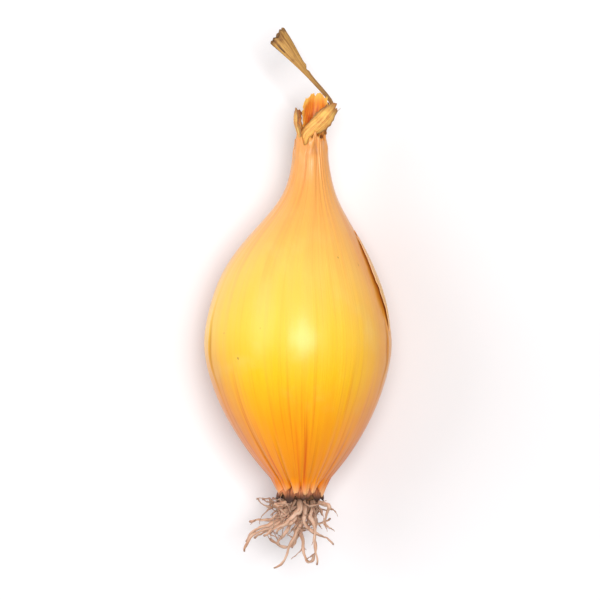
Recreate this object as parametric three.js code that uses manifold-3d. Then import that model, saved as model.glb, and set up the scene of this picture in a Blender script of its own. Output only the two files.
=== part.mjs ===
// An onion set, the small dry onion bulb that gardeners plant in spring, lying on its side.
// Millimetres, +Z up. The neck points along +Y and the roots along -Y. The origin is the middle of
// the small flat spot that the bulb rests on.
import * as THREE from "three";
import { mergeVertices } from "three/addons/utils/BufferGeometryUtils.js";
import Module from "manifold-3d";

// ---- Driving dimensions, mm ----
const BULB_RADIUS = 10; // at the belly, the widest place
const FLAT_DEPTH = 0.6; // how far the resting spot is pressed into the round
const AXIS_Z = BULB_RADIUS - FLAT_DEPTH; // height of the bulb's axis over the surface
const NECK_LEAN = 1.4; // the neck's end stands this far towards +X
const NECK_LIFT = 0.8; // and this far above the axis
const BASE_LEAN = 0.3; // the root end stands this far towards +X
const SKIN = 0.25; // thickness of the dried sheets
const CLEAR = 0.3; // gap between pieces that touch

// The bulb's outline from root end to neck: distance along the axis and radius, as shares of BULB_RADIUS.
const OUTLINE = [
  [-1.62, 0.23],
  [-1.31, 0.5],
  [-0.81, 0.81],
  [-0.31, 0.975],
  [0, 1],
  [0.44, 0.91],
  [0.81, 0.76],
  [1.19, 0.51],
  [1.44, 0.31],
  [1.7, 0.215],
  [2.14, 0.16],
];
const BASE_Y = OUTLINE[0][0] * BULB_RADIUS;
const NECK_Y = OUTLINE.at(-1)[0] * BULB_RADIUS;
const BULB_RINGS = 40;
const BULB_SIDES = 40;

// Root tuft
const ROOT_COUNT = 20;
const ROOT_RADIUS = 0.26;
const ROOT_STEP = 0.5; // spacing of the points along a root
const ROOT_SIDES = 6;
const TIGHTEST_TURN = 0.9; // radius of a root's sharpest curl
const TUFT_LEAN = 0.7; // how strongly the roots set off towards -X
const PLATE_RADIUS = 2.1;
const PLATE_THICKNESS = 1.1;
const PLATE_Y = BASE_Y - CLEAR - PLATE_THICKNESS; // the plate's lower face, where the roots leave it

// ---- Colours and finishes ----
const finish = (color, roughness) =>
  new THREE.MeshStandardMaterial({ color, roughness, metalness: 0 });
const goldenSkin = finish(0xf0b040, 0.42);
const driedSheath = finish(0xdca55a, 0.7);
const innerScale = finish(0xd97f2c, 0.5);
const driedLeaf = finish(0xb08a52, 0.8);
const corkPlate = finish(0x6e4a2c, 0.9);
const dryRoot = finish(0xc4a281, 0.85);

// ---- The axis and the outline ----
/** Where the bulb's axis is at distance y along it. */
function axisAt(y) {
  const towardsNeck = Math.max(0, y / NECK_Y);
  const towardsBase = Math.max(0, y / BASE_Y);
  const leaning = THREE.MathUtils.smoothstep(y, 0.28 * NECK_Y, 0.79 * NECK_Y);
  const x = NECK_LEAN * leaning + BASE_LEAN * towardsBase ** 2;
  return new THREE.Vector3(x, y, AXIS_Z + NECK_LIFT * towardsNeck ** 2);
}

const outlineCurve = new THREE.SplineCurve(
  OUTLINE.map(([y, r]) => new THREE.Vector2(r * BULB_RADIUS, y * BULB_RADIUS)),
);
const outlinePoints = outlineCurve.getSpacedPoints(BULB_RINGS);

/** The bulb's radius at distance y along the axis. */
function radiusAt(y) {
  const i = outlinePoints.findIndex((p) => p.y >= y);
  if (i <= 0) return outlinePoints.at(i).x;
  const [a, b] = [outlinePoints[i - 1], outlinePoints[i]];
  return THREE.MathUtils.mapLinear(y, a.y, b.y, a.x, b.x);
}

/** How much wider the bulb is at this place than a true round: a slight oval, and pleats at both ends. */
function swell(y, angle) {
  const pleatsAtBase = THREE.MathUtils.smoothstep(-y, 0.7 * BULB_RADIUS, -BASE_Y);
  const pleatsAtNeck = THREE.MathUtils.smoothstep(y, 1.2 * BULB_RADIUS, NECK_Y);
  return (
    1 +
    0.012 * Math.cos(2 * angle + 0.6) +
    0.008 * Math.cos(3 * angle - 1) +
    0.03 * pleatsAtBase * Math.cos(9 * angle) +
    0.06 * pleatsAtNeck * Math.cos(6 * angle + 0.4)
  );
}

/** A point on the bulb, at distance y along the axis and angle round it from +X towards +Z. */
function onBulb(y, angle, clearance = 0) {
  const r = radiusAt(y) * swell(y, angle) + clearance;
  return axisAt(y).add(new THREE.Vector3(r * Math.cos(angle), 0, r * Math.sin(angle)));
}

// ---- Solids ----
const wasm = await Module();
wasm.setup();

/** A closed geometry as a manifold-3d solid. */
function solidOf(geometry) {
  const bare = new THREE.BufferGeometry();
  bare.setAttribute("position", geometry.getAttribute("position"));
  bare.setIndex(geometry.getIndex());
  const merged = mergeVertices(bare, 1e-3);
  return new wasm.Manifold(
    new wasm.Mesh({
      numProp: 3,
      vertProperties: merged.attributes.position.array,
      triVerts: new Uint32Array(merged.index.array),
    }),
  );
}

/** A manifold-3d solid as a geometry. */
function geometryOf(solid) {
  const mesh = solid.getMesh();
  const geometry = new THREE.BufferGeometry();
  geometry.setAttribute("position", new THREE.BufferAttribute(mesh.vertProperties, 3));
  geometry.setIndex(new THREE.BufferAttribute(mesh.triVerts, 1));
  geometry.computeVertexNormals();
  return geometry;
}

/** Turns a profile of [radius, y] round the bulb's axis, then moves each point by place(y, angle, radius). */
function turned(profile, sides, place) {
  const geometry = new THREE.LatheGeometry(
    profile.map(([r, y]) => new THREE.Vector2(r, y)),
    sides,
  );
  const position = geometry.getAttribute("position");
  const point = new THREE.Vector3();
  for (let i = 0; i < position.count; i++) {
    point.fromBufferAttribute(position, i);
    const radius = Math.hypot(point.x, point.z);
    point.copy(place(point.y, Math.atan2(point.z, point.x), radius));
    position.setXYZ(i, point.x, point.y, point.z);
  }
  return geometry;
}

/** The bulb in its skin, with its neck, and the flat spot below. */
function bulbGeometry() {
  const profile = [
    [0, BASE_Y],
    ...outlinePoints.map((p) => [p.x, p.y]),
    [0, NECK_Y],
  ];
  const round = turned(profile, BULB_SIDES, (y, angle, radius) => {
    const r = radius * swell(y, angle);
    return axisAt(y).add(new THREE.Vector3(r * Math.cos(angle), 0, r * Math.sin(angle)));
  });
  const ground = new THREE.BoxGeometry(4 * BULB_RADIUS, 8 * BULB_RADIUS, BULB_RADIUS);
  ground.translate(0, 0, -BULB_RADIUS / 2);
  return geometryOf(solidOf(round).subtract(solidOf(ground)));
}

/** The corky stem disc that the roots grow from. */
function plateGeometry() {
  const top = PLATE_Y + PLATE_THICKNESS;
  const profile = [
    [0, PLATE_Y],
    [0.75 * PLATE_RADIUS, PLATE_Y],
    [PLATE_RADIUS, PLATE_Y + 0.4 * PLATE_THICKNESS],
    [0.9 * PLATE_RADIUS, top],
    [0, top],
  ];
  return turned(profile, 20, (y, angle, radius) =>
    axisAt(BASE_Y).setY(y).add(
      new THREE.Vector3(radius * Math.cos(angle), 0, radius * Math.sin(angle)),
    ),
  );
}

/** The torn lower edge of the oldest skin: a short ring round the root end and the plate, with teeth. */
function frillGeometry() {
  const [top, bottom] = [BASE_Y + CLEAR, PLATE_Y + 0.4];
  const inside = 1.03 * radiusAt(top) + CLEAR;
  const mouth = PLATE_RADIUS + CLEAR;
  const profile = [
    [mouth, bottom],
    [mouth + SKIN, bottom],
    [inside + SKIN, top],
    [inside, top],
    [mouth, bottom],
  ];
  const teeth = 10;
  return turned(profile, 2 * teeth, (y, angle, radius) => {
    const tooth = 0.35 * Math.cos(teeth * angle) + 0.2 * Math.cos(3 * angle);
    const share = (top - y) / (top - bottom);
    return axisAt(BASE_Y)
      .setY(y + tooth * share)
      .add(new THREE.Vector3(radius * Math.cos(angle), 0, radius * Math.sin(angle)));
  });
}

/**
 * A dried sheet: a strip along a path, as wide as width(u), bent across by curl(u) radians towards the
 * outward vector, with a thickness of SKIN.
 */
function sheetGeometry({ path, outward, width, curl, rows = 10, columns = 6 }) {
  const curve = new THREE.CatmullRomCurve3(path);
  const surface = (u, v, lift) => {
    const middle = curve.getPointAt(u);
    const along = curve.getTangentAt(u);
    const normal = outward.clone().addScaledVector(along, -outward.dot(along)).normalize();
    const side = new THREE.Vector3().crossVectors(along, normal);
    const halfAngle = curl(u) / 2;
    const bend = Math.abs(halfAngle) < 1e-3 ? 1e-3 : halfAngle;
    const arcRadius = width(u) / 2 / bend;
    const reach = arcRadius - lift;
    return middle
      .addScaledVector(side, reach * Math.sin(v * bend))
      .addScaledVector(normal, arcRadius - reach * Math.cos(v * bend));
  };
  const stride = columns + 1;
  const layer = (rows + 1) * stride;
  const position = [];
  for (const lift of [-SKIN / 2, SKIN / 2])
    for (let i = 0; i <= rows; i++)
      for (let j = 0; j <= columns; j++)
        position.push(...surface(i / rows, (2 * j) / columns - 1, lift));
  const index = [];
  const quad = (a, b, c, d) => index.push(a, b, c, a, c, d);
  for (let i = 0; i < rows; i++)
    for (let j = 0; j < columns; j++) {
      const a = i * stride + j;
      quad(a, a + stride, a + stride + 1, a + 1);
      quad(layer + a, layer + a + 1, layer + a + stride + 1, layer + a + stride);
    }
  for (let i = 0; i < rows; i++) {
    const [a, b] = [i * stride, i * stride + columns];
    quad(a, layer + a, layer + a + stride, a + stride);
    quad(b, b + stride, layer + b + stride, layer + b);
  }
  for (let j = 0; j < columns; j++) {
    const b = rows * stride + j;
    quad(j, j + 1, layer + j + 1, layer + j);
    quad(b, layer + b, layer + b + 1, b + 1);
  }
  const geometry = new THREE.BufferGeometry();
  geometry.setAttribute("position", new THREE.Float32BufferAttribute(position, 3));
  geometry.setIndex(index);
  geometry.computeVertexNormals();
  return geometry;
}

// ---- Roots ----
/** A repeatable number from 0 to 1 for each pair of whole numbers. */
function chance(a, b) {
  const s = Math.sin(a * 127.1 + b * 311.7) * 43758.5453;
  return s - Math.floor(s);
}

/** Where root n runs before the tuft is untangled: a strand that leaves the plate and curls as it dries. */
function rootStrand(n) {
  const ring = Math.sqrt((n + 0.5) / ROOT_COUNT);
  const angle = n * Math.PI * (3 - Math.sqrt(5));
  const rim = 0.85 * PLATE_RADIUS * ring;
  const start = axisAt(BASE_Y).setY(PLATE_Y - 0.1);
  start.x += rim * Math.cos(angle);
  start.z += rim * Math.sin(angle);
  const spread = 0.3 + 1.2 * ring * chance(n, 1);
  const heading = new THREE.Vector3(0, -1, 0);
  const goal = new THREE.Vector3(
    spread * Math.cos(angle) - TUFT_LEAN,
    ring > 0.75 ? -0.3 : -1,
    spread * Math.sin(angle) - 0.1,
  ).normalize();
  const turnAxis = new THREE.Vector3(
    chance(n, 2) - 0.5,
    0.6 * (chance(n, 3) - 0.5),
    chance(n, 4) - 0.5,
  ).normalize();
  const length = 4.5 + 6.5 * chance(n, 5);
  const curl = 0.25 + 0.5 * chance(n, 6);
  const points = [start];
  for (let s = 0; s < length; s += ROOT_STEP) {
    points.push(points.at(-1).clone().addScaledVector(heading, ROOT_STEP));
    const wobble = 0.6 + 1.4 * Math.sin(0.9 * s + 6 * chance(n, 7));
    goal.applyAxisAngle(turnAxis, curl * wobble * ROOT_STEP);
    heading.lerp(goal, 0.3).normalize();
  }
  return points;
}

/** Pushes a and b apart along the line between them until they are `least` apart. */
function pushApart(a, b, least, aMoves, bMoves) {
  const between = b.clone().sub(a);
  const distance = between.length();
  if (distance >= least || distance === 0) return;
  between.multiplyScalar((least - distance) / distance / Math.max(1, aMoves + bMoves));
  if (aMoves) a.sub(between);
  if (bMoves) b.add(between);
}

/** Eases a towards the middle of its neighbours where the strand turns more sharply than it can. */
function unbend(before, a, after) {
  const middle = before.clone().add(after).multiplyScalar(0.5).sub(a);
  const most = ROOT_STEP ** 2 / (2 * TIGHTEST_TURN);
  const sag = middle.length();
  if (sag > most) a.addScaledVector(middle, 1 - most / sag);
}

/** Moves the strands until none lies in another, in the plate, in the bulb or in the ground. */
function untangle(strands) {
  const held = 2; // points at the start of each strand that stay where they are
  const least = 2 * ROOT_RADIUS + 0.25;
  const rounds = 300;
  for (let round = 0; round < rounds; round++) {
    strands.forEach((a, m) =>
      strands.slice(m).forEach((b, k) => {
        for (let i = 0; i < a.length; i++)
          for (let j = k === 0 ? i + 3 : 0; j < b.length; j++)
            pushApart(a[i], b[j], least, +(i >= held), +(j >= held));
      }),
    );
    for (const strand of strands)
      for (let i = held; i < strand.length; i++) {
        const point = strand[i];
        const fromAxis = Math.hypot(point.x - BASE_LEAN, point.z - AXIS_Z);
        const beyondFrill = Math.max(0, fromAxis - PLATE_RADIUS - 4 * CLEAR);
        point.y = Math.min(point.y, PLATE_Y - ROOT_RADIUS - 0.15 + 1.5 * beyondFrill);
        point.z = Math.max(point.z, ROOT_RADIUS + CLEAR);
        if (i < strand.length - 1) unbend(strand[i - 1], point, strand[i + 1]);
        const back = strand[i - 1].clone().sub(point);
        const slack = back.length() - ROOT_STEP;
        point.addScaledVector(back.normalize(), slack);
      }
  }
  return strands;
}

/** A tube along a strand. */
function rootGeometry(strand) {
  const section = new THREE.Shape(
    Array.from({ length: ROOT_SIDES }, (_, i) => {
      const angle = (2 * Math.PI * i) / ROOT_SIDES;
      return new THREE.Vector2(ROOT_RADIUS * Math.cos(angle), ROOT_RADIUS * Math.sin(angle));
    }),
  );
  return new THREE.ExtrudeGeometry(section, {
    steps: strand.length - 1,
    bevelEnabled: false,
    extrudePath: new THREE.CatmullRomCurve3(strand),
  });
}

// ---- The pieces ----
const onionSet = new THREE.Group();

function addPiece(name, geometry, material) {
  const mesh = new THREE.Mesh(geometry, material);
  mesh.name = name;
  onionSet.add(mesh);
}

/** A place in the neck's opening, given from the middle of the neck's end. */
const neckEnd = axisAt(NECK_Y);
const byNeck = (x, y, z) => new THREE.Vector3(x, y, z).add(neckEnd);
const straight = (value) => () => value;
const tapered = (start, middle, end) => (u) =>
  u < 0.5
    ? THREE.MathUtils.lerp(start, middle, 2 * u)
    : THREE.MathUtils.lerp(middle, end, 2 * u - 1);

addPiece("bulb", bulbGeometry(), goldenSkin);
addPiece("basal_plate", plateGeometry(), corkPlate);
addPiece("base_skin_frill", frillGeometry(), driedSheath);

untangle(Array.from({ length: ROOT_COUNT }, (_, n) => rootStrand(n))).forEach((strand, n) =>
  addPiece(`root_${String(n + 1).padStart(2, "0")}`, rootGeometry(strand), dryRoot),
);

addPiece(
  "sheath_left",
  sheetGeometry({
    path: [byNeck(-1.2, 0.4, 0.2), byNeck(-1.75, 1.7, 0.3), byNeck(-1.7, 3.3, 0.7)],
    outward: new THREE.Vector3(1, 0, 0.2),
    width: tapered(1.6, 2, 1.1),
    curl: straight(1.8),
  }),
  driedSheath,
);

addPiece(
  "sheath_right",
  sheetGeometry({
    path: [byNeck(-0.5, 0.7, 1.4), byNeck(1.3, 1.9, 1.5), byNeck(2.8, 3.8, 0.9)],
    outward: new THREE.Vector3(0, 0, -1),
    width: tapered(1.2, 1.8, 1.4),
    curl: straight(1.4),
  }),
  driedSheath,
);

addPiece(
  "sheath_back",
  sheetGeometry({
    path: [byNeck(0.5, 0.4, -1.2), byNeck(0.9, 2.2, -1.5), byNeck(1.5, 4, -1.2)],
    outward: new THREE.Vector3(0, 0, 1),
    width: tapered(1.8, 2.6, 1.4),
    curl: straight(1.3),
  }),
  driedSheath,
);

addPiece(
  "inner_scale_tip",
  sheetGeometry({
    path: [byNeck(0.1, 0.4, -0.5), byNeck(0.4, 2.5, -0.6), byNeck(0.6, 5, -0.2)],
    outward: new THREE.Vector3(0, 0, 1),
    width: tapered(1.2, 2.3, 1),
    curl: straight(2),
  }),
  innerScale,
);

addPiece(
  "dried_leaf",
  sheetGeometry({
    path: [
      byNeck(1.75, 4.3, 0.4),
      byNeck(-0.1, 6.6, 0.4),
      byNeck(-1.9, 8.9, 0.5),
      byNeck(-3.7, 10.9, 0.8),
    ],
    outward: new THREE.Vector3(0, 0, 1),
    width: tapered(0.6, 1.3, 2.4),
    curl: tapered(0.8, 1.2, 1.6),
    rows: 12,
  }),
  driedLeaf,
);

addPiece(
  "outer_skin_flake",
  sheetGeometry({
    path: [1.1, 0.75, 0.4, 0.05].map((share) =>
      onBulb(share * BULB_RADIUS, 0.12, CLEAR + SKIN / 2 + 0.1),
    ),
    outward: new THREE.Vector3(-1, 0, 0),
    width: tapered(1, 3.6, 1.2),
    curl: (u) => tapered(1, 3.6, 1.2)(u) / BULB_RADIUS,
    rows: 12,
  }),
  driedSheath,
);

export default onionSet;
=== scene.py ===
"""The looks of an onion set: a small dry onion bulb that lies on its side, seen from straight above.

Lengths in this script are millimetres until a mesh is made. The neck points along +Y, +Z is up, and angles
round the bulb are counted from the top, positive towards -X.
"""
import math

import bpy
import numpy as np
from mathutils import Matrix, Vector


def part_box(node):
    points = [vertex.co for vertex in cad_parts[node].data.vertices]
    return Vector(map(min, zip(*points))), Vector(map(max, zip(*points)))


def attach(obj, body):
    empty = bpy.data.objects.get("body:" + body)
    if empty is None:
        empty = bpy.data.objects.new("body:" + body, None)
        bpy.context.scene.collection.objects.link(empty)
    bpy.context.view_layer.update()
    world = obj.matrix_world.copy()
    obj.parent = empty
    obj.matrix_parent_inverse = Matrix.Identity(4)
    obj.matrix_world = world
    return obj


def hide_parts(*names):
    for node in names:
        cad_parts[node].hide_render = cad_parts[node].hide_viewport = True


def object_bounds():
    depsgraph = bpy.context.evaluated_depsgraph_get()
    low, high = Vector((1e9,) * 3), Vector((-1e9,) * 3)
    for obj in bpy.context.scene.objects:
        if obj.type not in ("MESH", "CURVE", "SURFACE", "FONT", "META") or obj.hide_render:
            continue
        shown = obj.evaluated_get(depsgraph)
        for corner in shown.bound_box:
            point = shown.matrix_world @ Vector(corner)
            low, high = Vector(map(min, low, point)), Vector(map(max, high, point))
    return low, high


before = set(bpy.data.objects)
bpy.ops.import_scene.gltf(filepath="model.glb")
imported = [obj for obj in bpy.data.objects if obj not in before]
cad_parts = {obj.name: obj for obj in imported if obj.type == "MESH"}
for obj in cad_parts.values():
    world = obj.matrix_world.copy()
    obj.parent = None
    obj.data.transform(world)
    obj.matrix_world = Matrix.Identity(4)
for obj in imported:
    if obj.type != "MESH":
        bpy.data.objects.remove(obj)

MM = 0.001
CAD_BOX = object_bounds()
TAU = 2 * math.pi

# ---- Dimensions, in millimetres and radians ----
SKIN_SIDES, SKIN_RINGS = 380, 230
OUTLINE_REACH = 1.6  # over which the facets of the CAD outline are evened out
FLAT_RIM = 0.7  # height over which the skin curves up round the flat spot
OLD_SKIN_LEFT, OLD_SKIN_RIGHT = math.radians(70), math.radians(-74)  # where the older skin begins
BASE_FOLD, NECK_FOLD = 0.17, 0.12  # depth of the gathers in the skin
ROOT_RADIUS = 0.245
ROOTLET_RADIUS, ROOTLET_TIP = 0.075, 0.03
FINE_ROOTS, FINE_TIP = 46, 0.045
ROOT_STEP = 0.35  # between the points of a wandering root
LOWEST_ROOT = 0.25  # height of the lowest middle line over the surface
PLATE_SIDES, PLATE_RINGS = 72, 34
FRILL_SIDES, FRILL_ROWS = 220, 16
SHEET_ROWS, SHEET_COLUMNS = 70, 44
SHEET_THICK, SHEET_WRINKLE = 0.11, 0.06
LEAF_SIDES, LEAF_RINGS = 56, 90
LEAF_LENGTH = 9.5
FLAKE_ROWS, FLAKE_COLUMNS = 130, 40
FLAKE_THICK, FLAKE_MIDDLE = 0.09, math.radians(-83)

# ---- Camera and light, in metres and watts ----
CAMERA_DISTANCE = 0.45
CAMERA_MARGIN = 1.11  # height of the picture over the bulb's length
LAMPS = (
    ("overhead", (0.05, 0.045, 0.55), 0.24, 2.45, (1, 0.99, 0.975)),
    ("window", (-0.5, 0.15, 0.42), 0.4, 1.5, (1, 0.99, 0.98)),
)
WORLD_STRENGTH = 0.3
FLOOR_RADIUS = 3


# ---- Numbers ----
def smoothstep(low, high, x):
    t = np.clip((x - low) / (high - low), 0, 1)
    return t * t * (3 - 2 * t)


def mix(a, b, share):
    return a + (b - a) * share


def spline(x, xs, ys):
    """Values at x of the Catmull-Rom curve through the points (xs, ys), for xs in rising order."""
    xs, ys = np.asarray(xs, float), np.asarray(ys, float)
    slope = np.gradient(ys, xs, axis=0)
    i = np.clip(np.searchsorted(xs, x) - 1, 0, len(xs) - 2)
    step = xs[i + 1] - xs[i]
    t = np.clip((x - xs[i]) / step, 0, 1)
    if ys.ndim == 2:
        t, step = t[:, None], step[:, None]
    start = ys[i] * (1 + 2 * t) * (1 - t) ** 2 + slope[i] * step * t * (1 - t) ** 2
    end = ys[i + 1] * (3 - 2 * t) * t**2 - slope[i + 1] * step * t**2 * (1 - t)
    return start + end


def ripples(around, along, seed, turns, drift, count=14):
    """A smooth random field from about -1 to 1 that closes round a turn: count waves, each with turns[0] to
    turns[1] crests a turn and drifting by up to drift radians a millimetre along."""
    pick = np.random.RandomState(seed)
    total = 0
    for _ in range(count):
        n = pick.randint(turns[0], turns[1] + 1)
        total = total + np.cos(n * around + pick.uniform(-drift, drift) * along + pick.uniform(0, TAU))
    return total / math.sqrt(count / 2) * 0.6


def distances(steps):
    """How far along each point is, from the steps between points: 0 and the running total."""
    return np.concatenate([[0], np.cumsum(steps)])


def turns(sides, start=-math.pi):
    """Angles evenly round a turn, as one row."""
    return np.linspace(start, start + TAU, sides, endpoint=False)[None, :]


def round_lay(turn, along):
    """The lay of a round surface: its angle as a point on a circle, and the distance along."""
    return np.stack(np.broadcast_arrays(np.cos(turn), np.sin(turn), along), -1)


def unit(v):
    return v / np.maximum(np.linalg.norm(v, axis=-1, keepdims=True), 1e-9)


def points_of(node):
    """The corners of a CAD node's mesh, in millimetres."""
    return np.array([v.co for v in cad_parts[node].data.vertices], float) / MM


# ---- Meshes ----
def add_mesh(name, points, faces, lay, material, **fields):
    """A smooth mesh. lay is a vector for each point that fibres follow: across or round, and z along."""
    mesh = bpy.data.meshes.new(name)
    mesh.from_pydata((np.asarray(points) * MM).tolist(), [], faces)
    mesh.shade_smooth()
    attribute = mesh.attributes.new("lay", "FLOAT_VECTOR", "POINT")
    attribute.data.foreach_set("vector", np.asarray(lay, np.float32).ravel())
    for key, values in fields.items():
        attribute = mesh.attributes.new(key, "FLOAT", "POINT")
        attribute.data.foreach_set("value", np.asarray(values, np.float32).ravel())
    mesh.materials.append(material)
    piece = bpy.data.objects.new(name, mesh)
    bpy.context.scene.collection.objects.link(piece)
    return piece


def tube_faces(rings, sides, first=0, closed_start=True, closed_end=True):
    """Quads between rings of points that go round, with a face over each closed end."""

    def at(i, j):
        return first + i * sides + j % sides

    places = [(i, j) for i in range(rings - 1) for j in range(sides)]
    faces = [(at(i, j), at(i, j + 1), at(i + 1, j + 1), at(i + 1, j)) for i, j in places]
    if closed_start:
        faces.append(tuple(at(0, j) for j in reversed(range(sides))))
    if closed_end:
        faces.append(tuple(at(rings - 1, j) for j in range(sides)))
    return faces


def finish_piece(piece, slot, *nodes):
    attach(piece, "root")
    if nodes:
        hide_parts(*nodes)


# ---- Materials ----
def srgb(r, g, b):
    """An sRGB colour of 0 to 255 as the linear colour that a socket takes."""
    shares = (r / 255, g / 255, b / 255)
    linear = [c / 12.92 if c <= 0.04045 else ((c + 0.055) / 1.055) ** 2.4 for c in shares]
    return (*linear, 1)


class Shader:
    """A node material around one Principled shader."""

    def __init__(self, name, roughness, **sockets):
        self.material = bpy.data.materials.new(name)
        self.material.use_nodes = True
        self.tree = self.material.node_tree
        self.surface = self.tree.nodes["Principled BSDF"]
        self.surface.inputs["Roughness"].default_value = roughness
        for key, value in sockets.items():
            self.surface.inputs[key.replace("_", " ")].default_value = value
        lay = self.tree.nodes.new("ShaderNodeAttribute")
        lay.attribute_name = "lay"
        self.lay = lay.outputs["Vector"]

    def feed(self, socket, value):
        if isinstance(value, bpy.types.NodeSocket):
            self.tree.links.new(value, socket)
        else:
            socket.default_value = value

    def field(self, name):
        """A number that the mesh holds for each point."""
        node = self.tree.nodes.new("ShaderNodeAttribute")
        node.attribute_name = name
        return node.outputs["Fac"]

    def math(self, operation, a, b):
        node = self.tree.nodes.new("ShaderNodeMath")
        node.operation = operation
        self.feed(node.inputs[0], a)
        self.feed(node.inputs[1], b)
        return node.outputs[0]

    def stretched(self, across, along):
        """The lay, scaled to this many features a unit across and along."""
        node = self.tree.nodes.new("ShaderNodeVectorMath")
        node.operation = "MULTIPLY"
        self.feed(node.inputs[0], self.lay)
        node.inputs[1].default_value = (across, across, along)
        return node.outputs[0]

    def noise(self, vector, detail=3, rough=0.55, scale=1):
        node = self.tree.nodes.new("ShaderNodeTexNoise")
        self.feed(node.inputs["Vector"], vector)
        node.inputs["Scale"].default_value = scale
        node.inputs["Detail"].default_value = detail
        node.inputs["Roughness"].default_value = rough
        return node.outputs["Fac"]

    def place(self):
        """The point on the piece, in metres."""
        return self.tree.nodes.new("ShaderNodeTexCoord").outputs["Object"]

    def along(self):
        """The distance along the lay, in millimetres."""
        node = self.tree.nodes.new("ShaderNodeSeparateXYZ")
        self.feed(node.inputs[0], self.lay)
        return node.outputs["Z"]

    def spread(self, value, low, high, out_low=0, out_high=1):
        """value from low..high to out_low..out_high, held at both ends."""
        node = self.tree.nodes.new("ShaderNodeMapRange")
        node.interpolation_type = "SMOOTHSTEP"
        self.feed(node.inputs["Value"], value)
        for key, number in zip(("From Min", "From Max", "To Min", "To Max"), (low, high, out_low, out_high)):
            node.inputs[key].default_value = number
        return node.outputs["Result"]

    def ramp(self, value, stops):
        """A colour ramp through stops of (place, colour)."""
        node = self.tree.nodes.new("ShaderNodeValToRGB")
        self.feed(node.inputs["Fac"], value)
        elements = node.color_ramp.elements
        while len(elements) < len(stops):
            elements.new(0.5)
        for element, (place, colour) in zip(elements, stops):
            element.position = place
            element.color = colour
        return node.outputs["Color"]

    def blend(self, share, a, b, mode="MIX"):
        """Colour a with this share of colour b mixed in or multiplied on."""
        node = self.tree.nodes.new("ShaderNodeMix")
        node.data_type, node.blend_type = "RGBA", mode
        self.feed(node.inputs["Factor"], share)
        self.feed(node.inputs[6], a)
        self.feed(node.inputs[7], b)
        return node.outputs[2]

    def bump(self, height, distance, before=None):
        """A bump whose full height stands distance millimetres proud."""
        node = self.tree.nodes.new("ShaderNodeBump")
        node.inputs["Distance"].default_value = distance * MM
        self.feed(node.inputs["Height"], height)
        if before is not None:
            self.feed(node.inputs["Normal"], before)
        return node.outputs["Normal"]

    def done(self, colour, roughness=None, normal=None):
        self.feed(self.surface.inputs["Base Color"], colour)
        if roughness is not None:
            self.feed(self.surface.inputs["Roughness"], roughness)
        if normal is not None:
            self.feed(self.surface.inputs["Normal"], normal)
        return self.material


def papery_skin(name):
    """The papery skin: yellow at the belly, orange towards the roots, peach at the neck. Four fields change
    it: the older skin's deeper orange, also laid on the flanks as painted shade; a painted shadow along the
    older skin's edge; painted shade in folds, pinches and hollows; and pale torn edges."""
    s = Shader(
        name, 0.4, Subsurface_Weight=0.1, Subsurface_Scale=1.2 * MM, Specular_IOR_Level=0.12,
        Coat_Weight=0.8, Coat_Roughness=0.3, Coat_IOR=1.4
    )
    s.surface.inputs["Subsurface Radius"].default_value = (1, 0.45, 0.12)
    old, edge, crease = s.field("old_skin"), s.field("skin_edge"), s.field("crease")
    slow = s.noise(s.stretched(1.6, 0.09), detail=3)
    streak = s.noise(s.stretched(7, 0.045), detail=4, rough=0.6)
    vein = s.noise(s.stretched(26, 0.05), detail=2, rough=0.5)
    fine = s.noise(s.stretched(70, 0.35), detail=3, rough=0.6)
    blotch = s.noise(s.place(), scale=170, detail=4)
    speck = s.noise(s.place(), scale=1500, detail=2)
    waver = s.math("MULTIPLY", s.math("SUBTRACT", streak, 0.5), 7)
    place = s.spread(s.math("ADD", s.along(), waver), -17, 23)
    young = s.ramp(
        place,
        [
            (0.0, srgb(246, 148, 8)),
            (0.1, srgb(252, 170, 5)),
            (0.24, srgb(254, 197, 26)),
            (0.42, srgb(254, 206, 66)),
            (0.64, srgb(253, 202, 92)),
            (0.84, srgb(248, 179, 88)),
            (1.0, srgb(236, 160, 84)),
        ],
    )
    # the older skin's deeper orange, which is also painted shade on the flanks
    aged = s.blend(s.spread(blotch, 0.35, 0.7), srgb(222, 112, 0), srgb(200, 86, 0))
    colour = s.blend(old, young, s.blend(0.75, young, aged))
    low_part = s.spread(s.along(), -14, 0, 1, 0.12)
    for share, tint in (
        (s.spread(slow, 0.35, 0.75, 0, 0.25), srgb(250, 168, 60)),
        (s.spread(streak, 0.5, 0.72, 0, 0.6), srgb(236, 140, 50)),
        (s.spread(vein, 0.54, 0.7, 0, 0.6), srgb(214, 128, 62)),
    ):
        colour = s.blend(s.math("MULTIPLY", share, low_part), colour, tint, "MULTIPLY")
    bleached, speck_brown = srgb(255, 226, 150), srgb(120, 62, 24)
    crease_brown, edge_brown, torn_pale = srgb(120, 52, 18), srgb(148, 66, 24), srgb(250, 198, 150)
    colour = s.blend(s.spread(blotch, 0.52, 0.75, 0, 0.16), colour, bleached)
    colour = s.blend(s.spread(speck, 0.74, 0.8, 0, 0.5), colour, speck_brown)
    # painted shade: folds, pinches, the neck's hollow and the turned-in skin under the root end are darkened
    colour = s.blend(s.math("MULTIPLY", crease, 0.75), colour, crease_brown, "MULTIPLY")
    # painted shadow: a brown line along the older skin's edge, under its lip
    colour = s.blend(s.math("MULTIPLY", edge, 0.55), colour, edge_brown)
    colour = s.blend(s.field("pale_edge"), colour, torn_pale)
    rough = s.spread(s.math("ADD", streak, s.math("MULTIPLY", old, 0.25)), 0.3, 0.9, 0.34, 0.62)
    normal = s.bump(vein, 0.05)
    normal = s.bump(fine, 0.012, normal)
    normal = s.bump(s.noise(s.place(), scale=700, detail=3), 0.015, normal)
    return s.done(colour, rough, normal)


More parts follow.
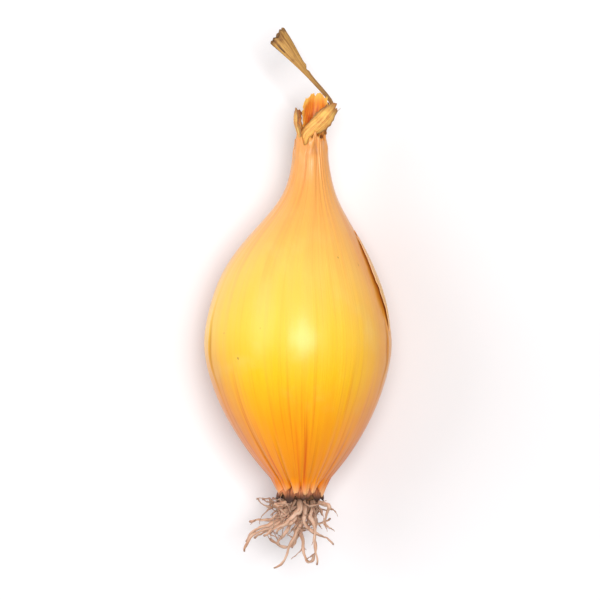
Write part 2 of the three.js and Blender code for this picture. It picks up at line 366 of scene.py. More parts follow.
def fibrous(name, light, dark, tip, roughness, across=6, along=0.25, depth=0.04, **sockets):
    """Dried leaf tissue: fibres along the lay in two tones, and tip's colour where the wear field is high: at
    ends and edges that wear, and as painted shade in recesses.
    """
    s = Shader(name, roughness, **sockets)
    worn = s.field("worn")
    fibre = s.noise(s.stretched(across, along), detail=5, rough=0.62)
    patch = s.noise(s.place(), scale=900, detail=4)
    colour = s.blend(s.spread(fibre, 0.36, 0.66), light, dark)
    colour = s.blend(s.spread(patch, 0.5, 0.72, 0, 0.5), colour, dark, "MULTIPLY")
    colour = s.blend(worn, colour, tip)
    rough = s.spread(fibre, 0.3, 0.7, roughness - 0.08, roughness + 0.1)
    normal = s.bump(fibre, depth)
    normal = s.bump(s.noise(s.place(), scale=2600, detail=3), 0.012, normal)
    return s.done(colour, rough, normal)


def cork():
    """The root plate's cork: rough and grainy, with darker pits."""
    s = Shader("cork_plate", 0.88)
    grain = s.noise(s.place(), scale=1400, detail=6, rough=0.65)
    pit = s.noise(s.place(), scale=480, detail=3)
    colour = s.blend(s.spread(grain, 0.35, 0.65), srgb(58, 34, 18), srgb(140, 98, 62))
    colour = s.blend(s.spread(pit, 0.5, 0.7, 0, 0.6), colour, srgb(38, 22, 12))
    return s.done(colour, normal=s.bump(grain, 0.12))


def dry_root():
    """Wiry roots: pale and pinkish, browner near the plate, with fine lengthwise wrinkles."""
    s = Shader("dry_root", 0.68, Subsurface_Weight=0.08, Subsurface_Scale=0.3 * MM)
    worn = s.field("worn")
    wrinkle = s.noise(s.stretched(3.2, 0.5), detail=4, rough=0.6)
    patch = s.noise(s.stretched(0.8, 0.6), detail=3)
    colour = s.blend(s.spread(patch, 0.35, 0.65), srgb(226, 190, 166), srgb(198, 152, 122))
    colour = s.blend(s.spread(wrinkle, 0.5, 0.72, 0, 0.55), colour, srgb(128, 88, 60))
    colour = s.blend(worn, colour, srgb(84, 54, 36))
    return s.done(colour, normal=s.bump(wrinkle, 0.035))


# ---- The bulb ----
def bulb_outline():
    """Along the CAD bulb: its y, the x and z of its axis, and its radius, as columns."""
    co = points_of("bulb")
    co = co[np.argsort(co[:, 1])]
    rings = np.split(co, np.flatnonzero(np.diff(co[:, 1]) > 0.02) + 1)
    rows = []
    for ring in rings:
        if len(ring) < 30:
            continue
        y = ring[:, 1].mean()
        left, right, top = ring[:, 0].min(), ring[:, 0].max(), ring[:, 2].max()
        radius = (right - left) / 2
        rows.append((y, (left + right) / 2, top - radius, radius))
    return np.array(rows)


def smoothed(rows, reach):
    """The rows at even steps along, each value averaged with those within about reach of it."""
    y = np.linspace(rows[0, 0], rows[-1, 0], 600)
    table = spline(y, rows[:, 0], rows[:, 1:])
    margin = int(3 * reach / (y[1] - y[0]))
    weights = np.exp(-0.5 * (np.arange(-margin, margin + 1) / (margin / 3)) ** 2)
    padded = np.pad(table, ((margin, margin), (0, 0)), "reflect", reflect_type="odd")
    columns = [np.convolve(column, weights / weights.sum(), "valid") for column in padded.T]
    return np.column_stack([y, *columns])


OUTLINE = smoothed(bulb_outline(), OUTLINE_REACH)
BASE_Y, NECK_Y = OUTLINE[0, 0], OUTLINE[-1, 0]
BELLY = OUTLINE[:, 3].max()


def section(y):
    """The axis' x and z, and the radius, at distance y along."""
    return spline(np.clip(y, BASE_Y, NECK_Y), OUTLINE[:, 0], OUTLINE[:, 1:])


def neck_end():
    """The middle of the neck's end."""
    x, z = section(np.array([NECK_Y]))[0][:2]
    return np.array((x, NECK_Y, z))


def skin_edges(y):
    """The angles from the top where the older skin begins: on the left and on the right."""
    left = OLD_SKIN_LEFT + 0.03 * np.sin(0.43 * y + 1) - 0.006 * y
    right = OLD_SKIN_RIGHT + 0.03 * np.sin(0.5 * y)
    ragged = [0.03 * ripples(0, y, seed, (1, 2), 2.2, 9) for seed in (51, 52)]
    return left + ragged[0], right + ragged[1]


def relief(y, angle, radius):
    """How far the skin stands off the plain outline in millimetres, and its fields for the material."""
    to_base = smoothstep(-7.5, BASE_Y, y)
    to_neck = smoothstep(11, NECK_Y - 3, y)
    oval = radius * (0.01 * np.cos(2 * angle + 0.9) + 0.007 * np.cos(3 * angle))
    lumps = 0.07 * ripples(angle, y, 3, (2, 6), 0.12) * (radius / BELLY)
    ribs = ripples(angle, y, 5, (26, 60), 0.04, 24) * (0.008 + 0.018 * to_base + 0.006 * to_neck)
    uneven = angle + 0.09 * np.sin(2 * angle + 1) + 0.06 * np.sin(5 * angle + 0.04 * y)
    base_fold = 1 - np.abs(np.sin(11 * uneven + 0.3 * np.sin(0.4 * y)))
    neck_fold = 1 - np.abs(np.sin(5 * angle + 0.10 * y + 0.4 * np.sin(angle)))
    depth = 0.5 + 0.5 * ripples(angle, y, 8, (3, 9), 0.05)
    base_crease = to_base * base_fold**4 * np.clip(depth, 0.1, 1)
    neck_crease = to_neck * neck_fold**3 * np.clip(1.2 - depth, 0.1, 1)
    folds = -BASE_FOLD * base_crease - NECK_FOLD * neck_crease + 0.06 * to_base
    left, right = skin_edges(y)
    inside = np.maximum(angle - left, right - angle) * radius
    fade = smoothstep(BASE_Y, -11, y) * smoothstep(17, 10, y)
    old = smoothstep(-0.1, 0.22, inside) * fade
    lip = np.exp(-(((inside - 0.3) / 0.28) ** 2)) * fade
    clear_part = np.exp(-(((y + 1) / 3.4) ** 2))
    step = (0.03 + 0.08 * clear_part) * old + 0.06 * lip * clear_part
    # a painted shadow along the older skin's edge
    shadow = np.exp(-(((inside + 0.02) / 0.17) ** 2)) * fade * clear_part
    near_end = smoothstep(NECK_Y - 3.2, NECK_Y - 0.6, y)
    pinch = ripples(angle, 3.2 * y, 21, (2, 8), 1.0)
    wrinkles = 0.09 * near_end * pinch
    pinched = 0.4 * near_end * smoothstep(0.3, 1.2, -pinch)
    # painted shade in the gathers at both ends and in the pinches near the neck's end
    crease = np.clip(0.7 * base_crease + 0.25 * neck_crease + pinched, 0, 1)
    # the flanks take the older skin's deeper orange: partly that skin's own tone, partly painted shade on the
    # sides
    flanks = np.maximum(smoothstep(-0.5, -1.4, angle), smoothstep(0.5, 1.4, angle) * smoothstep(3, -7, y))
    aged = np.maximum(old * smoothstep(0.2, 6, inside), 0.85 * flanks * smoothstep(17, 8, y))
    return oval + lumps + ribs + folds + step + wrinkles, aged, shadow, crease


def make_bulb():
    """The bulb with its neck: closed over at the roots, and torn and hollowed at the neck's end."""
    y_fine = np.linspace(BASE_Y, NECK_Y, 2000)
    length = distances(np.hypot(np.diff(y_fine), np.diff(section(y_fine)[:, 2])))
    y = np.interp(np.linspace(0, length[-1], SKIN_RINGS), length, y_fine)[:, None]
    angle = turns(SKIN_SIDES)
    axis_x, axis_z, radius = (section(y[:, 0])[:, k][:, None] for k in range(3))
    off, old, shadow, crease = relief(y, angle, radius)
    r = radius + off
    torn = 0.35 * ripples(angle, 0, 31, (2, 7), 0) + 0.22 * ripples(angle, 0, 32, (9, 22), 0)
    tongues = np.abs(np.sin(6.5 * angle + 0.7 * np.sin(2 * angle))) ** 0.8
    tongues = tongues + 0.3 * ripples(angle, 0, 33, (5, 16), 0)
    y_all = y + smoothstep(NECK_Y - 2.5, NECK_Y, y) * (torn - 0.1)
    y_all = y_all - smoothstep(BASE_Y + 1.2, BASE_Y, y) * np.clip(tongues - 0.3, -0.2, 1) * 1.15
    x = axis_x - r * np.sin(angle)
    z = axis_z + r * np.cos(angle)
    lay = round_lay(angle, y)
    # the flat spot, with a soft rim
    z = np.maximum(z, 0) + np.maximum(FLAT_RIM - np.abs(z), 0) ** 2 / FLAT_RIM / 4
    points = [np.stack([x, y_all, z], -1)]
    lays, olds, edges, creases = [lay], [old], [shadow], [crease]
    tips = 0.7 * smoothstep(BASE_Y + 0.9, BASE_Y, y) * smoothstep(0.2, 0.9, tongues)
    # inside the torn neck: the wall turns in and runs down to a hollow, darkened further in as painted shade
    for depth, share, dark in ((0.05, 0.86, 0.5), (-0.7, 0.74, 0.9), (-1.5, 0.5, 1), (-1.8, 0.15, 1)):
        x_in = axis_x[-1] - r[-1:] * share * np.sin(angle)
        z_in = axis_z[-1] + r[-1:] * share * np.cos(angle)
        points.append(np.stack([x_in, y_all[-1:] + depth, z_in], -1))
        lays.append(lay[-1:] + [0, 0, depth])
        olds.append(old[-1:])
        edges.append(0 * old[-1:])
        creases.append(0 * old[-1:] + dark)
    # under the root end: the skin turns in to the plate, darkened fully as painted shade
    for rise, share in ((0.25, 0.8), (0.45, 0.4)):
        x_in = axis_x[0] - r[:1] * share * np.sin(angle)
        z_in = axis_z[0] + r[:1] * share * np.cos(angle)
        points.insert(0, np.stack([x_in, y[:1] + rise + 0 * angle, z_in], -1))
        lays.insert(0, lay[:1])
        olds.insert(0, old[:1])
        edges.insert(0, 0 * old[:1])
        creases.insert(0, 0 * old[:1] + 1)
    count = sum(len(p) for p in points)

    def merge(parts):
        return np.concatenate([p.reshape(-1, 3) if p.ndim == 3 else p.ravel() for p in parts])

    piece = add_mesh(
        "bulb_skin",
        merge(points),
        [tuple(reversed(f)) for f in tube_faces(count, SKIN_SIDES)],
        merge(lays),
        papery_skin("golden_skin"),
        old_skin=merge(olds),
        skin_edge=merge(edges),
        crease=merge(creases),
        pale_edge=merge([0 * old[:2], tips, 0 * old[:4]]),
    )
    finish_piece(piece, "golden_skin", "bulb")


# ---- Strands ----
def centreline(node):
    """The middle line of a CAD root from the plate to its tip: its mesh is walked ring by ring."""
    points, index = np.unique(np.round(points_of(node), 3), axis=0, return_inverse=True)
    index = index.ravel()
    beside = [set() for _ in points]
    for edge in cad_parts[node].data.edges:
        a, b = index[edge.vertices[0]], index[edge.vertices[1]]
        beside[a].add(b)
        beside[b].add(a)
    plate_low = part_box("basal_plate")[0].y / MM
    ring = {i for i, p in enumerate(points) if abs(plate_low - 0.1 - p[1]) < 0.03}
    seen, middles = set(), []
    while ring:
        seen |= ring
        middles.append(points[sorted(ring)].mean(0))
        ring = {j for i in ring for j in beside[i]} - seen
    return np.array(middles)


def along_path(path, count):
    """count points on the smooth curve through the path, evenly spaced by number."""
    places = np.arange(len(path))
    return spline(np.linspace(0, len(path) - 1, count), places, path)


def strand(path, radii, sides, shape, first=0):
    """A closed tube along the path. shape(round, number) scales the radius. Returns points, lay and faces."""
    ahead = unit(np.gradient(path, axis=0))
    side = np.empty_like(path)
    side[0] = unit(np.cross(ahead[0], (0.3, 0.2, 1)))
    for i in range(1, len(path)):
        side[i] = unit(side[i - 1] - ahead[i] * np.dot(side[i - 1], ahead[i]))
    up = np.cross(ahead, side)
    turn = turns(sides, 0)
    number = np.arange(len(path))[:, None]
    r = np.asarray(radii)[:, None] * shape(turn, number)
    points = path[:, None] + r[..., None] * (
        np.cos(turn)[..., None] * side[:, None] + np.sin(turn)[..., None] * up[:, None]
    )
    lay = round_lay(turn, distances(np.linalg.norm(np.diff(path, axis=0), axis=1))[:, None])
    return points.reshape(-1, 3), lay.reshape(-1, 3), tube_faces(len(path), sides, first)


def wiry(path, thick, thin, seed):
    """A shrivelled strand's path, radii and shape: it thins, kinks and twists."""
    pick = np.random.RandomState(seed)
    count = max(12, int(len(path) * 5))
    path = along_path(path, count)
    t = np.linspace(0, 1, count)
    for waves, size in ((5, 0.07), (11, 0.035), (23, 0.012)):
        phase = pick.uniform(0, TAU, 3)
        sway = np.sin(t[:, None] * waves * TAU / 2 + phase) * smoothstep(0, 0.15, t)[:, None]
        path = path + size * thick / 0.28 * sway
    path[:, 2] = np.maximum(path[:, 2], 1.2 * thick)
    radii = mix(thick, thin, smoothstep(0.1, 1, t)) * (1 + 0.14 * np.sin(17 * t + pick.uniform(0, TAU)))
    radii = radii * (1 + 0.1 * np.sin(41 * t + pick.uniform(0, TAU)))
    radii[-1] *= 0.35
    twist = pick.uniform(-0.25, 0.25)
    flat = pick.uniform(0.1, 0.25)

    def shape(turn, number):
        return 1 + flat * np.cos(2 * turn + twist * number) + 0.12 * np.cos(5 * turn - twist * number)

    return path, radii, shape


def wander(start, heading, length, curl, pick):
    """A path that sets off along heading and curls at random, and comes no lower than the surface."""
    path, heading, axis = [np.array(start)], unit(np.array(heading, float)), unit(pick.normal(size=3))
    for _ in range(int(length / ROOT_STEP)):
        axis = unit(axis + 0.5 * pick.normal(size=3))
        heading = unit(heading + curl * ROOT_STEP * np.cross(axis, heading))
        path.append(path[-1] + ROOT_STEP * heading)
        path[-1][2] = max(path[-1][2], LOWEST_ROOT)
    return np.array(path)


def join(strands):
    """Several strands as one set of points, lay, faces and the field worn."""
    points, lays, faces, worn = [], [], [], []
    for path, radii, shape, sides, dark in strands:
        first = sum(len(p) for p in points)
        p, lay, f = strand(path, radii, sides, shape, first)
        points.append(p)
        lays.append(lay)
        faces += f
        worn.append(np.repeat(dark, sides))
    return np.concatenate(points), np.concatenate(lays), faces, np.concatenate(worn)


def make_roots():
    """Each CAD root as a wiry strand with a few rootlets, and a web of finer roots between them."""
    skin = dry_root()
    lines = {node: centreline(node) for node in sorted(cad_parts) if node.startswith("root_")}
    for number, (node, line) in enumerate(lines.items()):
        pick = np.random.RandomState(100 + number)
        line = np.concatenate([line[:1] + (0, 0.35, 0), line])
        start, end = ROOT_RADIUS * pick.uniform(0.85, 1.1), ROOT_RADIUS * pick.uniform(0.4, 0.6)
        path, radii, shape = wiry(line, start, end, 40 + number)
        t = np.linspace(0, 1, len(path))
        strands = [(path, radii, shape, 12, 0.8 * smoothstep(0.22, 0.0, t) + 0.5 * smoothstep(0.94, 1, t))]
        for _ in range(pick.randint(1, 4)):
            k = pick.randint(len(path) // 4, len(path) - 3)
            away = unit(pick.normal(size=3)) + 0.6 * unit(path[k + 1] - path[k])
            twig = wander(path[k], away, pick.uniform(0.9, 2.2), 0.7, pick)
            p, r, f = wiry(twig, ROOTLET_RADIUS, ROOTLET_TIP, 300 + 7 * number)
            strands.append((p, r, f, 6, 0.25 + 0 * p[:, 0]))
        points, lay, faces, worn = join(strands)
        finish_piece(add_mesh(f"{node}_strand", points, faces, lay, skin, worn=worn), "dry_root", node)

    pick = np.random.RandomState(9)
    low, high = (np.array(corner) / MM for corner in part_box("basal_plate"))
    middle, reach = (low + high) / 2, (high[0] - low[0]) / 2
    strands = []
    for number in range(FINE_ROOTS):
        turn, share = pick.uniform(0, TAU), math.sqrt(pick.uniform(0.05, 0.9))
        out = np.array([math.cos(turn), 0, math.sin(turn)]) * share
        start = middle + out * reach + (0, low[1] - middle[1] + 0.1, 0)
        path = wander(start, out * 0.9 + (-0.4, -1, 0), pick.uniform(2.5, 7.5), pick.uniform(0.6, 1.3), pick)
        path[:, 1] = np.minimum(path[:, 1], start[1] - 0.02)
        path[:, 1] = np.maximum(path[:, 1], CAD_BOX[0][1] / MM + 0.3)
        p, r, f = wiry(path, pick.uniform(0.08, 0.15), FINE_TIP, 500 + number)
        strands.append((p, r, f, 7, 0.35 + 0 * p[:, 0]))
    points, lay, faces, worn = join(strands)
    finish_piece(add_mesh("fine_roots", points, faces, lay, skin, worn=worn), "dry_root")


# ---- The root end ----
def make_plate():
    """The corky disc that the roots grow from, with a lumpy face."""
    low, high = (np.array(corner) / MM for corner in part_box("basal_plate"))
    middle, reach = (low + high) / 2, (high[0] - low[0]) / 2
    turn = turns(PLATE_SIDES)
    t = np.linspace(0, 1, PLATE_RINGS)
    stops = [0, 0.3, 0.42, 0.55, 0.75, 1]
    share = spline(t, stops, [0.03, 0.8, 0.97, 0.98, 0.8, 0.03])[:, None]
    y = spline(t, stops, [1, 0.98, 0.75, 0.4, 0.08, 0.0])[:, None]
    r = reach * share * (1 + 0.06 * ripples(turn, 3 * y, 61, (3, 14), 1.5) * smoothstep(0.1, 0.7, share))
    bumps = 0.1 * ripples(turn, 9 * share, 62, (2, 9), 1.5) * smoothstep(0.5, 0, y)
    x = middle[0] + r * np.cos(turn)
    z = middle[2] + r * np.sin(turn)
    y = low[1] + (high[1] - low[1]) * y + bumps * smoothstep(0.05, 0.3, share)
    points = np.stack([x, y + 0 * turn, z], -1).reshape(-1, 3)
    piece = add_mesh("basal_plate_cork", points, tube_faces(PLATE_RINGS, PLATE_SIDES), points, cork())
    finish_piece(piece, "cork_plate", "basal_plate")


def make_frill():
    """The ragged lower edge of the oldest skin: torn flaps round the plate, in two rows."""
    low, high = (np.array(corner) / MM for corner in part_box("base_skin_frill"))
    middle, reach = (low + high) / 2, (high[0] - low[0]) / 2
    tones = srgb(206, 124, 70), srgb(122, 62, 32), srgb(58, 30, 18)
    skin = fibrous("torn_skin", *tones, 0.66, across=9, along=0.5, depth=0.06)
    turn = turns(FRILL_SIDES)
    down = np.linspace(0, 1, FRILL_ROWS)
    t = np.concatenate([down, down[::-1]])[:, None]
    inner = (np.arange(2 * FRILL_ROWS) >= FRILL_ROWS)[:, None]
    corners = np.arange(2 * FRILL_ROWS * FRILL_SIDES).reshape(2 * FRILL_ROWS, FRILL_SIDES)
    below = np.roll(corners, -1, 0)
    faces = np.stack([corners, below, np.roll(below, -1, 1), np.roll(corners, -1, 1)], -1).reshape(-1, 4)
    rows = (
        ("base_frill_outer", ["base_skin_frill"], 71, 1.0, 1.0, 11),
        ("base_frill_inner", [], 72, 0.75, 0.82, 8),
    )
    for row, (name, replaced, seed, long, out, flaps) in enumerate(rows):
        tooth = np.abs(np.sin(flaps / 2 * turn + 0.8 * np.sin(2 * turn + row)))
        ragged = 0.75 * tooth**0.7 + 0.2 * ripples(turn, 0, seed, (3, 9), 0)
        ragged = ragged + 0.07 * ripples(turn, 0, seed + 5, (20, 50), 0)
        reach_down = np.clip(0.5 + 0.75 * ragged, 0.25, 1.25) * long
        y = high[1] - 0.1 - (high[1] - low[1] - 0.3) * t * reach_down
        flare = spline(t[:, 0], [0, 0.35, 0.7, 1], [0.66, 0.73, 0.76, 0.78])[:, None]
        uneven = 1 + 0.05 * ripples(turn, 5 * t, seed + 9, (4, 16), 0.8) * (0.3 + t)
        r = reach * out * flare * uneven - 0.1 * inner
        x = middle[0] + r * np.cos(turn)
        z = middle[2] + r * np.sin(turn)
        points = np.stack([x, y, z], -1).reshape(-1, 3)
        lay = round_lay(turn, y).reshape(-1, 3)
        # darker towards the flaps' torn ends, and the inner row darker still as painted shade behind the
        # outer row
        worn = np.clip(smoothstep(0.25, 1, t * reach_down / long) + 0.35 * inner, 0, 1)
        piece = add_mesh(name, points, faces.tolist(), lay, skin, worn=worn)
        finish_piece(piece, "torn_skin", *replaced)


# ---- The neck's dried leaves ----
def sheet_faces(rows, columns):
    """Faces round a thin sheet: two layers of rows by columns points, joined at their edges."""
    behind = rows * columns
    front = np.arange(behind).reshape(rows, columns)
    a, b, c, d = front[:-1, :-1], front[1:, :-1], front[1:, 1:], front[:-1, 1:]
    quads = [np.stack([a, b, c, d], -1), np.stack([a, d, c, b], -1) + behind]
    for rim in (front[:, 0], front[::-1, -1], front[0, ::-1], front[-1]):
        rim_back = rim + behind
        quads.append(np.stack([rim[:-1], rim_back[:-1], rim_back[1:], rim[1:]], -1))
    return np.concatenate([q.reshape(-1, 4) for q in quads])


def make_sheet(name, material, path, facing, width, curl, seed, torn):
    """A thin torn strip along the path, hollow towards facing. width and curl, in radians, are given at each
    point of the path. Its end and edges are ragged, and it has lengthwise wrinkles."""
    path = np.asarray(path, float)
    places = np.linspace(0, 1, len(path))
    v = np.linspace(-1, 1, SHEET_COLUMNS)[None, :]
    u = np.linspace(0, 1, SHEET_ROWS)[:, None]
    ragged = 0.6 * ripples(2.2 * v, 0, seed, (1, 4), 0) + 0.16 * ripples(2.2 * v, 0, seed + 1, (5, 12), 0)
    end = 1 - torn * (0.35 + ragged + 0.5 * np.abs(v) ** 3)
    t = np.clip(u * np.minimum(end, 1), 0, 1)
    flat_t = t.ravel()
    shape = t.shape
    middle = spline(flat_t, places, path).reshape(*shape, 3)
    before, after = (spline(np.clip(flat_t + by, 0, 1), places, path) for by in (-0.01, 0.01))
    ahead = unit(after - before).reshape(*shape, 3)
    toward = np.asarray(facing, float)
    normal = unit(toward - ahead * np.sum(toward * ahead, -1, keepdims=True))
    side = np.cross(ahead, normal)
    wide = spline(flat_t, places, width).reshape(shape)
    wide = wide * (1 + 0.12 * ripples(3 * t, 0, seed + 2, (1, 5), 0) * np.abs(v) ** 3)
    wide = wide * (1 + 0.05 * ripples(3 * t, 0, seed + 3, (9, 25), 0) * np.abs(v) ** 5)
    bend = np.maximum(spline(flat_t, places, curl).reshape(shape) / 2, 0.02)
    arc = wide / 2 / bend
    pleats = ripples(5 * v + 0.8 * np.sin(2 * t), 0, seed + 4, (1, 3), 0)
    puckers = ripples(2 * v, 9 * t, seed + 5, (1, 4), 1.2)
    lift = SHEET_WRINKLE * (0.6 * pleats + 0.4 * puckers) * smoothstep(0, 0.15, t)
    mid = middle + side * ((arc - lift) * np.sin(v * bend))[..., None]
    mid = mid + normal * (arc - (arc - lift) * np.cos(v * bend))[..., None]
    du, dv = np.gradient(mid, axis=0), np.gradient(mid, axis=1)
    out = unit(np.cross(du, dv))
    thin = SHEET_THICK * (1 - 0.55 * np.abs(v) ** 6) * (1 - 0.4 * smoothstep(0.9, 1, u))
    front, back = mid + out * thin[..., None] / 2, mid - out * thin[..., None] / 2
    points = np.concatenate([front.reshape(-1, 3), back.reshape(-1, 3)])
    length = np.linalg.norm(np.diff(path, axis=0), axis=1).sum()
    lay = np.stack([wide * v / 2, 0 * wide, t * length], -1).reshape(-1, 3)
    worn = np.clip(0.8 * smoothstep(0.68, 0.95, np.abs(v)) + 0.8 * smoothstep(0.82, 1, u), 0, 1).ravel()
    faces = sheet_faces(SHEET_ROWS, SHEET_COLUMNS)[:, ::-1].tolist()
    return add_mesh(name, points, faces, np.tile(lay, (2, 1)), material, worn=np.tile(worn, 2))


def make_neck_leaves():
    """The dried sheaths at the neck's end and the inner scale between them."""

    def near(*spots):
        """Places given from the middle of the neck's end."""
        return neck_end() + spots

    tones = srgb(246, 198, 104), srgb(206, 132, 58), srgb(140, 92, 48)
    dried = fibrous(
        "dried_sheath", *tones, 0.6, across=5, along=0.3, Subsurface_Weight=0.15, Subsurface_Scale=0.4 * MM
    )
    tones = srgb(240, 150, 48), srgb(206, 96, 30), srgb(252, 194, 92)
    fresh = fibrous(
        "inner_scale", *tones, 0.42, across=4, along=0.3, Subsurface_Weight=0.2, Subsurface_Scale=0.5 * MM
    )
    pieces = {
        "sheath_left": dict(
            path=near((-1.2, -1.6, 0.2), (-1.35, 0.2, 0.35), (-1.75, 1.7, 0.4), (-1.65, 3.3, 0.85)),
            facing=(1, 0, 0.15), width=(1.6, 2.3, 2.6, 1.7), curl=(1.8, 2.0, 2.5, 2.9), seed=201, torn=0.13,
        ),
        "sheath_right": dict(
            path=near((-0.7, -1.3, 0.75), (-0.4, 0.3, 1.3), (1.25, 1.8, 1.6), (2.95, 3.9, 0.85)),
            facing=(0, 0, -1), width=(1.2, 1.7, 2.2, 2.0), curl=(1.2, 1.5, 1.9, 2.2), seed=211, torn=0.14,
        ),
        "sheath_back": dict(
            path=near((0.3, -1.2, -1.2), (0.5, 0.4, -1.35), (0.9, 2.2, -1.5), (1.5, 4, -1.1)),
            facing=(0, 0, 1), width=(1.8, 2.4, 2.7, 1.5), curl=(1.6, 1.7, 1.5, 1.2), seed=221, torn=0.3,
        ),
        "inner_scale_tip": dict(
            path=near((0.0, -0.8, -0.4), (0.1, 0.4, -0.5), (0.5, 2.6, -0.75), (0.75, 4.9, -0.2)),
            facing=(0, 0, 1), width=(1.6, 2.4, 3.6, 2.5), curl=(2.2, 2.5, 2.6, 2.4), seed=231, torn=0.07,
        ),
    }
    for name, shape in pieces.items():
        inner = name == "inner_scale_tip"
        piece = make_sheet(f"{name}_dry", fresh if inner else dried, **shape)
        finish_piece(piece, "inner_scale" if inner else "dried_sheath", name)


def make_leaf():
    """The withered leaf: a flattened hollow tube that widens to a square-cut open end."""
    spots = [(2.45, 3.2, 0.05), (1.9, 4.3, 0.3), (-0.15, 6.65, 0.45), (-1.95, 8.9, 0.55), (-3.6, 10.95, 0.8)]
    path = along_path(neck_end() + spots, LEAF_RINGS)
    t = np.linspace(0, 1, LEAF_RINGS)
    stops = [0, 0.35, 0.5, 0.65, 0.82, 1]
    half_wide = spline(t, stops, [0.22, 0.23, 0.28, 0.48, 0.78, 1.06])
    half_thick = spline(t, stops, [0.16, 0.17, 0.19, 0.24, 0.32, 0.42])
    ahead = unit(np.gradient(path, axis=0))
    twist = spline(t, [0, 0.4, 1], [0.5, 0.2, -0.25])[:, None]
    flat_side = unit(np.cross(ahead, (0, 0, 1)))
    flat_up = np.cross(flat_side, ahead)
    side = flat_side * np.cos(twist) + flat_up * np.sin(twist)
    up = np.cross(side, ahead)
    turn = turns(LEAF_SIDES, 0)
    ribs = 0.05 * np.cos(9 * turn + 0.5) + 0.04 * np.cos(17 * turn)
    ribs = ribs + 0.05 * ripples(turn, 7 * t[:, None], 83, (2, 7), 1)
    notch = np.exp(-(((t[:, None] - 0.56) / 0.015) ** 2)) - 0.5 * np.exp(-(((t[:, None] - 0.6) / 0.02) ** 2))
    notch = notch * smoothstep(0.55, 1, np.cos(turn))
    dent_above = np.exp(-(((turn - 1.9) / 0.35) ** 2))
    dent_below = np.exp(-(((turn - 4.4) / 0.4) ** 2))
    crushed = 1 + ribs - 0.3 * dent_above - 0.2 * dent_below - 0.55 * notch
    cut = 0.22 * np.cos(turn + 0.4) + 0.12 * ripples(turn, 0, 85, (3, 11), 0)
    cut = cut * smoothstep(0.85, 1, t)[:, None]

    def ring(i, share, back):
        """One ring of the leaf's wall: share of its size, and set back along it."""
        x = half_wide[i] * share * np.cos(turn[0]) * (0.3 + 0.7 * crushed[i])
        y = half_thick[i] * share * np.sin(turn[0]) * crushed[i]
        return path[i] + side[i] * x[:, None] + up[i] * y[:, None] + ahead[i] * (cut[i] - back)[:, None]

    walls = [ring(i, 1, 0) for i in range(LEAF_RINGS)]
    hollow = ((0.9, 0.02), (0.82, 0.35), (0.74, 0.9), (0.6, 1.6), (0.2, 1.9))
    walls += [ring(LEAF_RINGS - 1, share, back) for share, back in hollow]
    points = np.concatenate(walls)
    t_all = np.concatenate([t, np.ones(len(hollow))])[:, None]
    run = LEAF_LENGTH * t_all - np.concatenate([0 * t, [back for _, back in hollow]])[:, None]
    lay = round_lay(turn, run).reshape(-1, 3)
    dark = 0.55 * smoothstep(0.6, 0.25, t) + 0.45 * smoothstep(0.96, 1, t)
    # painted shade inside the open end's hollow, deepest furthest in
    dark = np.concatenate([dark, [0.6, 0.85, 1, 1, 1]])
    # painted shade in the dent on the underside
    fold = 0.4 * dent_below * smoothstep(0.3, 0.9, t_all)
    worn = np.clip(dark[:, None] + fold, 0, 1)
    tones = srgb(206, 156, 78), srgb(146, 98, 42), srgb(108, 72, 36)
    material = fibrous("dried_leaf", *tones, 0.62, across=5, along=0.35, depth=0.06)
    piece = add_mesh("dried_leaf_stub", points, tube_faces(len(walls), LEAF_SIDES), lay, material, worn=worn)
    finish_piece(piece, "dried_leaf", "dried_leaf")


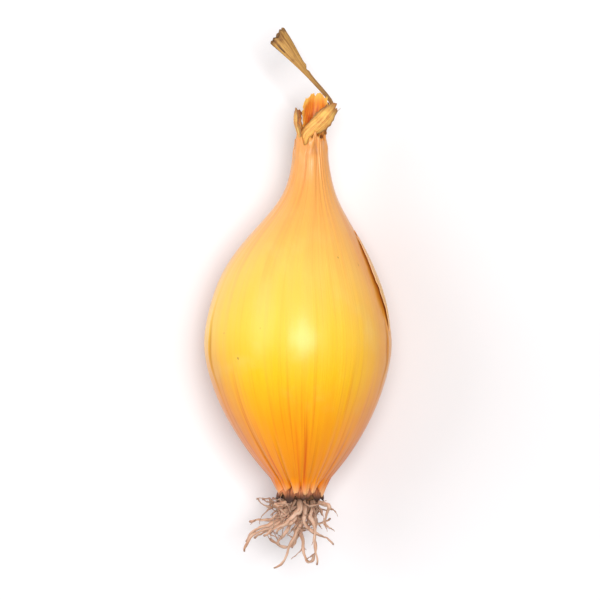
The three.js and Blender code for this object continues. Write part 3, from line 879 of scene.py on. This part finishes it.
def make_flake():
    """A loose strip of the oldest skin along the right side, with its torn edge lifted."""
    low, high = (np.array(corner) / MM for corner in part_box("outer_skin_flake"))
    u = np.linspace(0, 1, FLAKE_ROWS)[:, None]
    v = np.linspace(-1, 1, FLAKE_COLUMNS)[None, :]
    y = mix(low[1], high[1], u) + 0.25 * v * np.sin(3 * u)
    y = y + 0.18 * ripples(3 * v, 0, 91, (1, 5), 0) * (1 - np.sin(math.pi * u))
    wide = 1.75 * np.sin(math.pi * np.clip(u * 0.94 + 0.04, 0, 1)) ** 0.6
    wide = wide * (1 + 0.1 * ripples(3 * u, 0, 92, (1, 5), 0) + 0.06 * ripples(3 * u, 0, 93, (8, 22), 0))
    shape = section(y.ravel())
    axis_x, axis_z, radius = (shape[:, k].reshape(y.shape) for k in range(3))
    angle = FLAKE_MIDDLE + v * wide / radius
    lifted = smoothstep(-0.9, 0.1, v) * 0.28 + smoothstep(0.2, 1, v) * (0.1 + 0.08 * np.sin(7 * u))
    settled = np.sin(math.pi * np.clip(u, 0.02, 0.98)) ** 0.5
    stand = -0.06 + settled * lifted + 0.03 * ripples(3 * v, 6 * u, 94, (1, 5), 1.5)
    layers = []
    for half in (0.5, -0.5):
        r = radius + stand + half * FLAKE_THICK
        layer = np.stack([axis_x - r * np.sin(angle), y, axis_z + r * np.cos(angle)], -1)
        layers.append(layer.reshape(-1, 3))
    lay = round_lay(angle, y).reshape(-1, 3)

    def both(field):
        """The field on the front and on the back layer."""
        return np.tile((field * np.ones_like(y)).ravel(), 2)

    piece = add_mesh(
        "outer_skin_strip",
        np.concatenate(layers),
        sheet_faces(FLAKE_ROWS, FLAKE_COLUMNS).tolist(),
        np.tile(lay, (2, 1)),
        papery_skin("loose_skin"),
        old_skin=both(0.5),
        skin_edge=both(0),
        # painted shade along the bend of the lifted edge
        crease=both(0.25 * smoothstep(0.5, 0.85, v) * smoothstep(1, 0.85, v)),
        pale_edge=both(0.85 * smoothstep(0.86, 1, v)),
    )
    finish_piece(piece, "loose_skin", "outer_skin_flake")


# ---- Camera and light ----
def make_camera():
    """A camera straight above, with the neck at the top of the picture."""
    low, high = CAD_BOX
    middle = (Vector(low) + Vector(high)) / 2
    camera = bpy.data.objects.new("camera", bpy.data.cameras.new("camera"))
    picture = (high[1] - low[1]) * CAMERA_MARGIN
    camera.data.lens = camera.data.sensor_width * CAMERA_DISTANCE / picture
    camera.location = (middle.x, middle.y, middle.z + CAMERA_DISTANCE)
    bpy.context.scene.collection.objects.link(camera)
    bpy.context.scene.camera = camera


def add_area(name, place, size, power, colour):
    """A square lamp that faces the bulb's flat spot."""
    lamp = bpy.data.lights.new(name, "AREA")
    lamp.size = size
    lamp.energy = power
    lamp.color = colour
    light = bpy.data.objects.new(name, lamp)
    light.location = place
    light.rotation_euler = (-Vector(place)).to_track_quat("-Z", "Y").to_euler()
    bpy.context.scene.collection.objects.link(light)


def make_stage():
    """A plain pale floor, white surroundings and two soft lamps."""
    scene = bpy.context.scene
    scene.view_settings.view_transform = "Standard"
    world = bpy.data.worlds.new("studio")
    world.use_nodes = True
    background = world.node_tree.nodes["Background"]
    background.inputs["Color"].default_value = (1, 1, 1, 1)
    background.inputs["Strength"].default_value = WORLD_STRENGTH
    scene.world = world
    for lamp in LAMPS:
        add_area(*lamp)

    bpy.ops.mesh.primitive_circle_add(vertices=96, radius=FLOOR_RADIUS, fill_type="NGON")
    floor = bpy.context.object
    floor.name = "floor"
    paper = Shader("floor_paper", 0.9)
    tone = paper.noise(paper.place(), scale=6, detail=2)
    floor.data.materials.append(paper.done(paper.blend(tone, (0.86, 0.85, 0.87, 1), (0.88, 0.87, 0.89, 1))))


make_camera()
make_stage()
make_bulb()
make_plate()
make_frill()
make_roots()
make_neck_leaves()
make_leaf()
make_flake()
